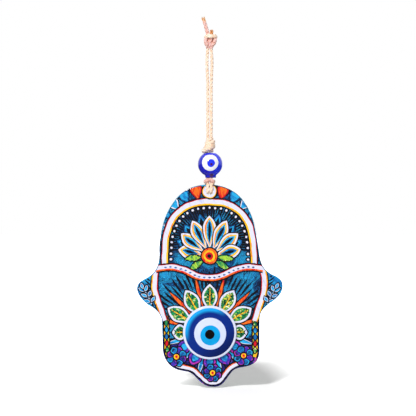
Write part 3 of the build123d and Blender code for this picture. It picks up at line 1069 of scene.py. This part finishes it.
def edge_of_front():
    """The points along the edge of the plate's flat front, and at each the way inwards."""
    mesh = bmesh.new()
    mesh.from_mesh(bpy.data.objects["hand_glass"].data)
    mesh.normal_update()
    hole_reach = 4 * MM
    neighbours = {}
    for edge in mesh.edges:
        flat = [face.normal.y < -FLAT for face in edge.link_faces]
        outer = all(vertex.co.y < 0 and vertex.co.x**2 + (vertex.co.z - hole_middle.z)**2 > hole_reach**2
                    for vertex in edge.verts)
        if outer and sum(flat) == 1:
            a, b = edge.verts
            neighbours.setdefault(a, []).append(b)
            neighbours.setdefault(b, []).append(a)
    loop = [min(neighbours, key=lambda vertex: vertex.co.z)]
    while len(loop) < len(neighbours):
        loop.append(next(other for other in neighbours[loop[-1]]
                         if len(loop) < 2 or other is not loop[-2]))
    points = [Vector((vertex.co.x / MM, (plate_top - vertex.co.z) / MM, 0)) for vertex in loop]
    mesh.free()
    turn = sum(a.x * b.y - b.x * a.y for a, b in zip(points, points[1:] + points[:1]))
    if turn < 0:
        points.reverse()
    inwards = []
    for before, after in zip(points[-1:] + points[:-1], points[1:] + points[:1]):
        run = after - before
        inwards.append(Vector((-run.y, run.x, 0)).normalized())
    return points, inwards


def tidy_shape(shape):
    """Merges the points of a flat shape that fell together, turns it to the front without its folded
    faces, and parts it where one point joins it."""
    with faces_of(shape) as mesh:
        bmesh.ops.remove_doubles(mesh, verts=mesh.verts, dist=MERGE)
        bmesh.ops.dissolve_degenerate(mesh, dist=MERGE, edges=mesh.edges)
        mesh.normal_update()
        if sum(face.normal.y > 0 for face in mesh.faces) * 2 > len(mesh.faces):
            bmesh.ops.reverse_faces(mesh, faces=mesh.faces)
            mesh.normal_update()
        spoilt = [face for face in mesh.faces if face.calc_area() < LEAST_AREA or face.normal.y > 0]
        bmesh.ops.delete(mesh, geom=spoilt, context="FACES")
        while folds := [edge for edge in mesh.edges if len(edge.link_faces) > 2
                        or len(edge.link_faces) == 2 and not edge.is_contiguous]:
            smallest = min(folds[0].link_faces, key=lambda face: face.calc_area())
            bmesh.ops.delete(mesh, geom=[smallest], context="FACES")
        bmesh.ops.delete(mesh, geom=[edge for edge in mesh.edges if edge.is_wire], context="EDGES")
        loose = [vertex for vertex in mesh.verts if not vertex.link_faces]
        bmesh.ops.delete(mesh, geom=loose, context="VERTS")
        for vertex in list(mesh.verts):
            rims = [edge for edge in vertex.link_edges if edge.is_boundary]
            if len(rims) > 2:
                bmesh.utils.vert_separate(vertex, rims)


def petal_sides(at, heading, base, length, width, belly, grow=0.0):
    """The two sides of a pointed petal. heading is in degrees from straight up, clockwise, base is
    its foot's distance from the middle of its flower, and grow widens it all round."""
    base, length, width = base - grow, length + 2 * grow, width + 1.7 * grow
    turn = radians(heading)
    power = log(0.5) / log(belly)
    steps = max(9, min(18, round(length * 1.3)))
    sides = ([], [])
    for k in range(steps + 1):
        share = k / steps
        half = width / 2 * max(sin(pi * share**power), 0.0) ** 0.85
        along = base + length * share
        for sign, side in zip((1, -1), sides):
            side.append((at[0] + sin(turn) * along + cos(turn) * half * sign,
                         at[1] - cos(turn) * along + sin(turn) * half * sign))
    return sides


def spot_sides(at, radius):
    turns = [pi * k / 14 for k in range(15)]
    return [[(at[0] + radius * cos(turn), at[1] + sign * radius * sin(turn)) for turn in turns]
            for sign in (1, -1)]


def drawn_line(points, step):
    """Places along a drawn line, evenly spaced, with each one's direction."""
    return evenly(line_along([(x, 0, down) for x, down in points]), step)


def spaced(points, step):
    return [(station[0].x, station[0].z) for station in drawn_line(points, step)]


def ribbon_sides(points, width, shift=0.0):
    """The two sides of a ribbon along a drawn line. shift moves it aside."""
    sides = ([], [])
    for place, heading, _ in drawn_line(points, 1.2):
        across = Vector((-heading.z, 0, heading.x))
        for sign, side in zip((1, -1), sides):
            point = place + across * (shift + sign * width / 2)
            side.append((point.x, point.z))
    return sides


def around(at, radius, heading):
    """A point at a distance and heading from another one."""
    return at[0] + radius * sin(radians(heading)), at[1] - radius * cos(radians(heading))


class Drawing:
    """The print as a painter lays it down: every shape lies over those that it covers."""

    def __init__(self):
        settings = bpy.context.scene.hamsa_print
        self.rim = settings.outline / MM
        self.wobble = settings.wobble / MM
        self.shapes = {}
        self.painted = {}
        self.edge, self.inwards = edge_of_front()
        self.near_edge = KDTree(len(self.edge))
        for index, point in enumerate(self.edge):
            self.near_edge.insert(point, index)
        self.near_edge.balance()
        # Without a seed, noise_vector takes one from the clock
        noise.seed_set(1)

    def by_hand(self, point, shaky):
        """Where a hand-held brush sets a point, and never outside the flat front."""
        broad = noise.noise_vector(Vector((point[0] * 0.16, point[1] * 0.16, 3.0)))
        fine = noise.noise_vector(Vector((point[0] * 0.6, point[1] * 0.6, 9.0)))
        place = Vector((*point, 0)) + self.wobble * (broad + shaky * fine)
        place.z = 0
        nearest, index, _ = self.near_edge.find(place)
        return nearest if (place - nearest).dot(self.inwards[index]) < 0 else place

    def level_over(self, first, second):
        """The lowest level over all that is painted where a band lies."""
        cells = set()
        for corners in zip(first, second, first[1:], second[1:]):
            across = [floor(corner.x / CELL) for corner in corners]
            down = [floor(corner.y / CELL) for corner in corners]
            cells |= {(i, j) for i in range(min(across), max(across) + 1)
                      for j in range(min(down), max(down) + 1)}
        level = 1 + max(self.painted.get(cell, 0) for cell in cells)
        self.painted.update(dict.fromkeys(cells, level))
        return level

    def band(self, ink, sides):
        """Paints the band between two sides."""
        shaky = 0.6 if ink == "dark" else 0.25
        first, second = ([self.by_hand(point, shaky) for point in side] for side in sides)
        lift = self.level_over(first, second) * LAYER
        bpy.ops.mesh.primitive_grid_add(x_subdivisions=len(first) - 1, y_subdivisions=1)
        shape = bpy.context.object
        for vertex, point in zip(shape.data.vertices, first + second):
            vertex.co = (point.x * MM, coat_front - lift, plate_top - point.y * MM)
        tidy_shape(shape)
        self.shapes.setdefault(ink, []).append(shape)

    def stroke(self, ink, *petal):
        """Paints a petal without an outline."""
        self.band(ink, petal_sides(*petal))

    def petal(self, inks, at, heading, base, length, width, belly=0.5):
        """Paints a petal with a dark outline. Each ink after the first is a smaller one inside it."""
        for ink, grow in (("dark", self.rim), *((ink, -0.15 * width * k) for k, ink in enumerate(inks))):
            self.stroke(ink, at, heading, base, length, width, belly, grow)

    def wreath(self, inks, at, headings, *sizes):
        for heading in headings:
            self.petal(inks, at, heading, *sizes)

    def spot(self, inks, at, radius):
        """Paints a round spot with a dark outline, and a smaller one in it for each further ink."""
        self.band("dark", spot_sides(at, radius + self.rim))
        for k, ink in enumerate(inks):
            self.band(ink, spot_sides(at, radius * (1 - k / len(inks))))

    def ribbon(self, points, width, ink, *edgings):
        """Paints a ribbon with a dark outline. An edging is its ink, its width and its shift."""
        for tone, tone_width, shift in (("dark", width + 2 * self.rim, 0), (ink, width, 0), *edgings):
            self.band(tone, ribbon_sides(points, tone_width, shift))

    def inside_edge(self, inset, order, belongs):
        """A line inside the plate's edge, past the points that belong to it, ordered across or down."""
        line = [tuple((point + inward * inset).xy) for point, inward in zip(self.edge, self.inwards)
                if belongs(point)]
        return sorted(line, key=lambda point: point[order])

    def finish(self, ink, material):
        """Joins all shapes of one ink, and gives them their thickness and finish."""
        piece = join_pieces(self.shapes[ink])
        solidify(piece, thickness=LAYER * 0.98, offset=-1)
        settle(piece, f"print_{ink}", "hand", "print", None, material)


def draw_hatching(drawing):
    """Dark strokes that fill the ground between the motifs."""
    dice = random.Random(5)
    for count, start, sweep, at, base, spread, length, width in (
        (48, -100, 200, ARCH_AT, 15, 5, 15, 1.5),
        (38, -84, 168, DISC_AT, 27, 6, 18, 1.7),
        (20, 100, 160, DISC_AT, 19, 3, 15, 1.2),
    ):
        for k in range(count + 1):
            heading = start + sweep * k / count
            drawing.stroke("dark", at, heading, base + dice.uniform(0, spread), length, width, 0.6)
    for side in (-1, 1):
        for k in range(11):
            foot = (side * (40.5 + k * 0.5), 94 - k * 3.2)
            drawing.stroke("dark", foot, side * (24 + k * 4), 0, 8.5 - 0.3 * k, 1.2, 0.35)


def draw_dome(drawing):
    """A row of scales along the dome, the white arch under it, and a string of dots."""
    for k in range(13):
        heading = -84 + 14 * k
        inks = ("white", "cyan") if k % 2 else ("blue", "cyan")
        if abs(heading) < 20:
            inks = ("red", "orange")
        if heading:
            drawing.petal(inks, ARCH_AT, heading, 33, 14, 8.4, 0.62)
    for place in spaced(STRING, 4.3)[1:-1]:
        drawing.spot(("white",), place, 0.85)
    drawing.ribbon(ARCH, 4.4, "white", ("yellow", 1.2, 1.9), ("red", 0.45, -2.1))
    hole_ring = [around(HOLE_AT, 4.5, heading) for heading in range(32, 329, 16)]
    for ink, width, shift in (("dark", 3.4, 0), ("white", 2.4, 0.5), ("yellow", 0.6, -0.4)):
        drawing.band(ink, ribbon_sides(hole_ring, width, shift))


def draw_fan(drawing):
    """The half-opened flower under the arch."""
    for heading in range(-65, 66, 26):
        reach = 19 + 9 * cos(radians(heading))
        drawing.petal(("blue", "cyan", "dark"), FAN_AT, heading, 4, reach, 8.6, 0.62)
    for heading in range(-78, 79, 26):
        reach = 17 + 8 * cos(radians(heading))
        drawing.petal(("white", "yellow", "cyan", "dark"), FAN_AT, heading, 5, reach, 9.8, 0.6)
    drawing.wreath(("green", "lime"), FAN_AT, (-97, 97, -125, 125), 6, 12, 4.4, 0.5)
    drawing.spot(("orange", "yellow", "red", "dark"), FAN_AT, 5.8)


def draw_leaves(drawing):
    """Green leaves and orange bars over the eye disc, and violet petals under it."""
    drawing.wreath(("orange",), DISC_AT, range(-75, 76, 30), 16, 26, 2.2, 0.6)
    drawing.wreath(("white", "cyan"), DISC_AT, (-105, 105, -135, 135, -165, 165), 16, 17, 3.2, 0.55)
    for heading in range(-90, 91, 30):
        length = 13 if abs(heading) == 90 else 21
        drawing.petal(("white", "green"), DISC_AT, heading, 15, length, 11.5, 0.55)
        drawing.stroke("yellow", DISC_AT, heading, 16, length - 3, 0.9, 0.4)
        for k in range(2, 5):
            foot = around(DISC_AT, 15 + length * k / 5.4, heading)
            for side in (-1, 1):
                drawing.stroke("dark", foot, heading + side * 42, 0, 5.4 - 0.5 * k, 0.7, 0.4)
    drawing.wreath(("magenta", "violet", "cyan"), DISC_AT, (-120, 120, -150, 150, 180), 15, 12.5, 9.0, 0.55)


def draw_sides(drawing):
    """The thumbs' borders and sprigs, the chains along the sides, and the garland."""
    for side in (1, -1):
        chain = drawing.inside_edge(2.6, 1, lambda point: 98 < point.y < 129 and point.x * side > 0)
        drawing.ribbon(chain, 3.4, "yellow", ("lime", 1.1, side * 0.9))
        for k, place in enumerate(spaced(chain, 5.2)[1:-1]):
            drawing.petal((("green", "cyan", "blue", "red")[k % 4],), place, 180, -2.1, 4.2, 2.1)
        border, stem = (line if side == 1 else mirrored(line) for line in (THUMB, THUMB_STEM))
        drawing.ribbon(border, 4.2, "white", ("red", 0.6, side * 2.0), ("yellow", 0.9, -side * 1.8))
        drawing.band("white", ribbon_sides(stem, 0.7))
        for k in range(3):
            foot = (side * (43.4 + 2.1 * k), 87.2 - 3.9 * k)
            for turn, length in ((74 - 6 * k, 5.2), (-32 + 8 * k, 4.8)):
                drawing.petal(("white", "cyan"), foot, side * turn, 0.3, length, 2.5)
        drawing.petal(("white", "cyan"), (side * 48.8, 77.0), side * 28, 0, 4.4, 2.5)
    drawing.ribbon(GARLAND, 4.4, "white", ("orange", 1.2, 1.7), ("red", 0.45, -2.1))
    for place in spaced(GARLAND, 3.9)[2:-2]:
        drawing.stroke("blue", place, 90, -1.1, 2.2, 1.2, 0.5)


def draw_flowers(drawing):
    """A hem along the fingers, and a flower on each fingertip."""
    hem = drawing.inside_edge(2.5, 0, lambda point: point.y > 126 and abs(point.x) < 30)
    drawing.ribbon(hem[::3], 2.8, "white", ("orange", 0.7, -1.1))
    for at, size in FLOWERS:
        for k in range(8):
            inks = ("cyan", "blue") if k % 2 else ("magenta", "violet")
            drawing.petal(inks, at, 22.5 + 45 * k, 1.6, size - 1.6, size * 0.66, 0.62)
        drawing.spot(("yellow", "red"), at, 1.9)


def make_leaf_ink():
    """Green with flecks of yellow, lime and white."""
    ink = bpy.context.scene.hamsa_print
    material, shader, place = make_gloss("ink_green")
    green = brush(place, tint("0E9858"), darker(ink.green, 0.35), 0.002, 0.3, 0.5, 0.1)
    flecks = brush(place, tint("F4F6EC"), ink.yellow, 0.0009, 1.0, 0.5, 0.05)
    where = clouds(place, 700.0, 2.0, Roughness=0.6)
    limes = blend(ease(where, 0.54, 0.58), green, ink.lime)
    feed(shader["Base Color"], blend(ease(where, 0.6, 0.64), limes, flecks))
    return material


class HAMSA_OT_motifs(bpy.types.Operator):
    """Prints the motifs: arch, fan, garland, leaves round the disc, sprigs and flowers"""
    bl_idname = "hamsa.motifs"
    bl_label = "Printed motifs"

    def execute(self, context):
        ink = context.scene.hamsa_print
        drawing = Drawing()
        for draw in (draw_hatching, draw_dome, draw_fan, draw_leaves, draw_sides, draw_flowers):
            draw(drawing)
        paints = {
            "dark": (tint("0E1838"), ink.ink, 0.002, 0.3, 0.62, 0.14),
            "white": (ink.white, tint("B9BFE6"), 0.0026, 0.5, 0.36, 0.1),
            "yellow": (ink.yellow, ink.orange, 0.0018, 0.2, 0.44, 0.1),
            "orange": (ink.orange, ink.red, 0.0022, 0.1, 0.47, 0.1),
            "red": (ink.red, tint("7C0A20"), 0.002, 0.3, 0.42, 0.1),
            "green": None,
            "lime": (ink.lime, ink.green, 0.0018, 0.6, 0.45, 0.1),
            "cyan": (ink.cyan, ink.blue, 0.0024, 1.1, 0.48, 0.08),
            "blue": (ink.blue, ink.navy, 0.0024, -0.8, 0.48, 0.08),
            "violet": (ink.purple, ink.navy, 0.0016, 0.7, 0.46, 0.06),
            "magenta": (ink.magenta, ink.purple, 0.002, 0.9, 0.52, 0.08),
        }
        for name, strokes in paints.items():
            drawing.finish(name, make_paint(f"ink_{name}", *strokes) if strokes else make_leaf_ink())
        return {"FINISHED"}


# Eye disc

def disc_height(place):
    """Height of the disc's domed front over its back, at a place seen from the front."""
    rise = 4.2 * MM
    dome = 100 * MM
    reach2 = (place.x - disc_middle.x)**2 + (place.z - disc_middle.z)**2
    return rise - (dome - sqrt(dome**2 - reach2))


def disc_colour(outer, inner, foot, pocket):
    """One colour of the disc, between an outer and an inner circle. Each circle is how far its
    centre is shifted across and up, and its radius. foot and pocket are heights over the back."""
    groove = bpy.context.scene.hamsa_disc.groove
    sides = 144
    steps = 14
    foot += GAP
    wall = (outer[0], outer[1], outer[2] - GAP)

    def at(circle, height, radius):
        return (disc_middle.x + circle[0], disc_back - height, disc_middle.z + circle[1]), radius

    circles = [at(wall, foot, 0.3 * MM), at(wall, foot, wall[2])]
    for k in range(steps + 1):
        share = k / steps
        share = share * share * (3 - 2 * share)
        mixed = [a + (b - a) * share for a, b in zip(wall, inner)]
        circles.append(at(mixed, pocket + (1 + k) * GAP + 1 * MM, mixed[2]))
    if pocket:
        circles += [at(inner, pocket, inner[2]), at(inner, pocket, 0.31 * MM)]
    piece = through_circles(circles, sides)
    for i, vertex in enumerate(piece.data.vertices):
        ring = i // sides - 2
        if 0 <= ring <= steps:
            dip = {0: 1.0, 1: 0.35}.get(min(ring, steps - ring if pocket else steps), 0.0)
            vertex.co.y = disc_back - disc_height(vertex.co) + groove * dip
    close_up(piece)
    return piece


def shade_disc_ring(place):
    """Navy that turns bright blue towards the upper left edge as a painted highlight, and darker at the
    lower right as painted shade.
    """
    disc = bpy.context.scene.hamsa_disc
    across, _, up = from_middle(place, disc_middle)
    flat = add_node(place, "CombineXYZ", across, up)[0]
    reach = add_node(place, "VectorMath", flat, operation="LENGTH")["Value"]
    slant = minus(times(up, 0.82), times(across, 0.57))
    side = ease(plus(slant, times(clouds(place, 90.0, 2.0), 0.003)), 0.0035, 0.0145)
    navy = blend(ease(times(slant, -1.0), 0.002, 0.018), disc.navy, disc.deep_shade)
    return blend(times(side, ease(reach, 0.0142, 0.0172)), navy, disc.bright)


class HAMSA_OT_eye_disc(bpy.types.Operator):
    """Fuses the eye disc from its five colours of glass"""
    bl_idname = "hamsa.eye_disc"
    bl_label = "Eye disc"

    def execute(self, context):
        disc = context.scene.hamsa_disc
        circles = in_metres([
            (0, 0, 18.2), (0.3, -0.7, 11.8), (0.45, -1.9, 7.4), (0, -1.2, 3.5), (0, -1.2, 0.4),
        ])
        layer = 0.7 * MM
        parts = [
            ("ring_blue", "blue", "disc_blue_glass", shade_disc_ring),
            ("ring_white", "white", "white_glass", clouded(disc.white, 0.95, 200)),
            ("iris", "iris", "disc_light_blue_glass", clouded(disc.iris, 0.86, 150)),
            ("pupil", "pupil", "black_glass", clouded(disc.pupil, 0.5, 200)),
        ]
        for level, (name, node, slot, colour_of) in enumerate(parts, 1):
            pocket = (level + 1) * layer if name != "pupil" else 0
            piece = disc_colour(circles[level - 1], circles[level], level * layer, pocket)
            settle(piece, f"disc_{name}", "hand", slot, f"eye_disc_{node}",
                   make_glass_colour(f"disc_{name}_glass", colour_of, 0.06))

        profile = [(0.0, 0.3), (0.0, 19.0), (0.12, 19.5), (0.42, 19.8), (0.85, 19.9), (1.4, 19.9)]
        steps = 8
        for k in range(steps + 1):
            angle = radians(90) * k / steps
            profile.append((1.45 + 0.82 * sin(angle), 19.1 + 0.8 * cos(angle)))
        profile += [(2.37, 18.75), (2.43, 18.4), (2.40, 18.2), (0.7, 18.2), (0.7, 0.31)]
        profile = [(disc_back - height * MM, radius * MM) for height, radius in profile]
        rim = through_circles(on_axis(disc_middle, profile), 144)
        close_up(rim)
        settle(rim, "disc_rim", "hand", "white_glass", "eye_disc_rim",
               make_glass_colour("disc_rim_glass", clouded(disc.rim, 0.95, 150), 0.06))
        return {"FINISHED"}


class HAMSA_OT_glue(bpy.types.Operator):
    """Lays the thin bed of clear glue under the eye disc"""
    bl_idname = "hamsa.glue"
    bl_label = "Glue"

    def execute(self, context):
        radius = (glue_high.x - glue_low.x) / 2
        near, far = glue_low.y + GAP, glue_high.y - GAP
        bulge = (far - near) * 0.35
        profile = [
            (far, 0.3 * MM), (far, radius - 0.25 * MM), (far - bulge, radius - 0.05 * MM),
            (near + bulge, radius - 0.08 * MM), (near, radius - 0.3 * MM), (near, 0.31 * MM),
        ]
        glue = through_circles(on_axis(disc_middle, profile), 120)
        for vertex in glue.data.vertices:
            arm = Vector((vertex.co.x - disc_middle.x, 0, vertex.co.z - disc_middle.z))
            if arm.length > radius / 2:
                way = arm.normalized()
                pull = (0.5 + 0.5 * noise.noise(Vector((3 * way.x, 3 * way.z, 0)))) * 0.8 * MM
                vertex.co -= way * pull
        close_up(glue)
        material, shader, place = new_material("clear_glue", Roughness=0.2, Transmission_Weight=0.6)
        feed(shader["Base Color"], clouded(context.scene.hamsa_plate.glue, 0.9, 300)(place))
        settle(glue, "disc_glue", "hand", "glue", "eye_disc_glue", material)
        return {"FINISHED"}


# Stage

def make_world():
    """White behind the object, and for reflections a room that is dimmer on the camera's side."""
    stage = bpy.context.scene.hamsa_stage
    world = bpy.data.worlds.new("studio")
    bpy.context.scene.world = world
    world.use_nodes = True
    background = world.node_tree.nodes["Background"].inputs
    background["Color"].default_value = (1, 1, 1, 1)
    rays = add_node(world.node_tree, "LightPath")
    heading = add_node(world.node_tree, "TexCoord")["Generated"]
    behind = ease(add_node(heading, "SeparateXYZ", heading)[1], -0.6, 0.3)
    room = plus(times(behind, 1 - stage.room), stage.room)
    seen = reckon("MAXIMUM", rays["Is Camera Ray"], rays["Is Transmission Ray"])
    shiny = rays["Is Glossy Ray"]
    from_round = times(minus(1.0, shiny), stage.ambient)
    light = times(minus(1.0, seen), plus(times(shiny, room), from_round))
    feed(background["Strength"], plus(seen, light))


def floor_material():
    """A pale floor that fades into the white background and keeps the shadow."""
    material = bpy.data.materials.new("floor")
    material.use_nodes = True
    tree = material.node_tree
    tree.nodes.remove(tree.nodes["Principled BSDF"])
    rays = add_node(tree, "LightPath")
    tone = blend(rays["Is Glossy Ray"], (0.98, 0.98, 0.98), (0.12, 0.12, 0.12))
    place = add_node(tree, "TexCoord")["Object"]
    flattened = add_node(place, "VectorMath", place, (1, 0.22, 0), operation="MULTIPLY")[0]
    fade = ease(away_from(flattened, (0.02, 0.008, 0)), 0.01, 0.1)
    seen = reckon("MAXIMUM", rays["Is Camera Ray"], rays["Is Transmission Ray"])
    lit = add_node(tree, "BsdfDiffuse", Color=tone)[0]
    glow = add_node(tree, "Emission", Strength=2.2)[0]
    mix = add_node(tree, "MixShader", times(reckon("MAXIMUM", fade, 0.08), seen), lit, glow)[0]
    feed(tree.nodes["Material Output"].inputs["Surface"], mix)
    return material


class HAMSA_OT_stage(bpy.types.Operator):
    """Sets up the floor, the light and the camera"""
    bl_idname = "hamsa.stage"
    bl_label = "Stage"

    def execute(self, context):
        stage = context.scene.hamsa_stage
        ground = plate_low.z - stage.floor_gap
        bpy.ops.object.select_all(action="DESELECT")
        bpy.ops.mesh.primitive_plane_add(size=1, location=(0, 2.5, ground))
        plane = context.object
        bpy.ops.transform.resize(value=(8, 6, 1))
        bpy.ops.object.transform_apply()
        plane.name = "floor"
        plane.data.materials.append(floor_material())

        make_world()
        lamp = bpy.data.lights.new("key", "AREA")
        lamp.shape = "DISK"
        lamp.size = 0.5
        lamp.energy = stage.key_power
        key = new_object("key", lamp)
        key.location = (-0.85, -2.25, ground + 2.0)
        target = Vector((0, 0, ground + 0.06))
        key.rotation_euler = (target - key.location).to_track_quat("-Z", "Y").to_euler()

        lens = bpy.data.cameras.new("camera")
        lens.sensor_width = 36
        lens.lens = lens.sensor_width * stage.distance / stage.field
        lens.clip_end = 20
        camera = new_object("camera", lens)
        camera.location = (stage.aim_x, -stage.distance, stage.aim_z)
        camera.rotation_euler = (radians(90), 0, 0)
        context.scene.camera = camera
        context.scene.view_settings.view_transform = "Standard"
        return {"FINISHED"}


class HAMSA_PT_panel(bpy.types.Panel):
    """Lists the pieces of the ornament and their settings"""
    bl_idname = "HAMSA_PT_panel"
    bl_label = "Hamsa Hand Ornament"
    bl_space_type = "VIEW_3D"
    bl_region_type = "UI"
    bl_category = "Hamsa"

    def draw(self, context):
        for operator in STEPS:
            self.layout.operator(operator.bl_idname)
        for holder, group in SETTINGS.items():
            box = self.layout.box()
            for setting in group.__annotations__:
                box.prop(getattr(context.scene, holder), setting)


STEPS = (
    HAMSA_OT_stage,
    HAMSA_OT_strands,
    HAMSA_OT_top_knot,
    HAMSA_OT_lower_knot,
    HAMSA_OT_hitch,
    HAMSA_OT_bead,
    HAMSA_OT_plate,
    HAMSA_OT_coat,
    HAMSA_OT_motifs,
    HAMSA_OT_eye_disc,
    HAMSA_OT_glue,
)


def register():
    for cls in (*SETTINGS.values(), *STEPS, HAMSA_PT_panel):
        bpy.utils.register_class(cls)
    for holder, group in SETTINGS.items():
        setattr(bpy.types.Scene, holder, PointerProperty(type=group))


def unregister():
    for holder in SETTINGS:
        delattr(bpy.types.Scene, holder)
    for cls in reversed((*SETTINGS.values(), *STEPS, HAMSA_PT_panel)):
        bpy.utils.unregister_class(cls)


def main():
    register()
    make_brush_group()
    make_unevenness_group()
    make_yarn_group()
    bpy.ops.hamsa.stage()
    bpy.ops.hamsa.strands()
    bpy.ops.hamsa.top_knot()
    bpy.ops.hamsa.lower_knot()
    bpy.ops.hamsa.hitch()
    bpy.ops.hamsa.bead()
    bpy.ops.hamsa.plate()
    bpy.ops.hamsa.coat()
    bpy.ops.hamsa.motifs()
    bpy.ops.hamsa.eye_disc()
    bpy.ops.hamsa.glue()
    bpy.ops.object.select_all(action="DESELECT")


if __name__ == "__main__":
    main()
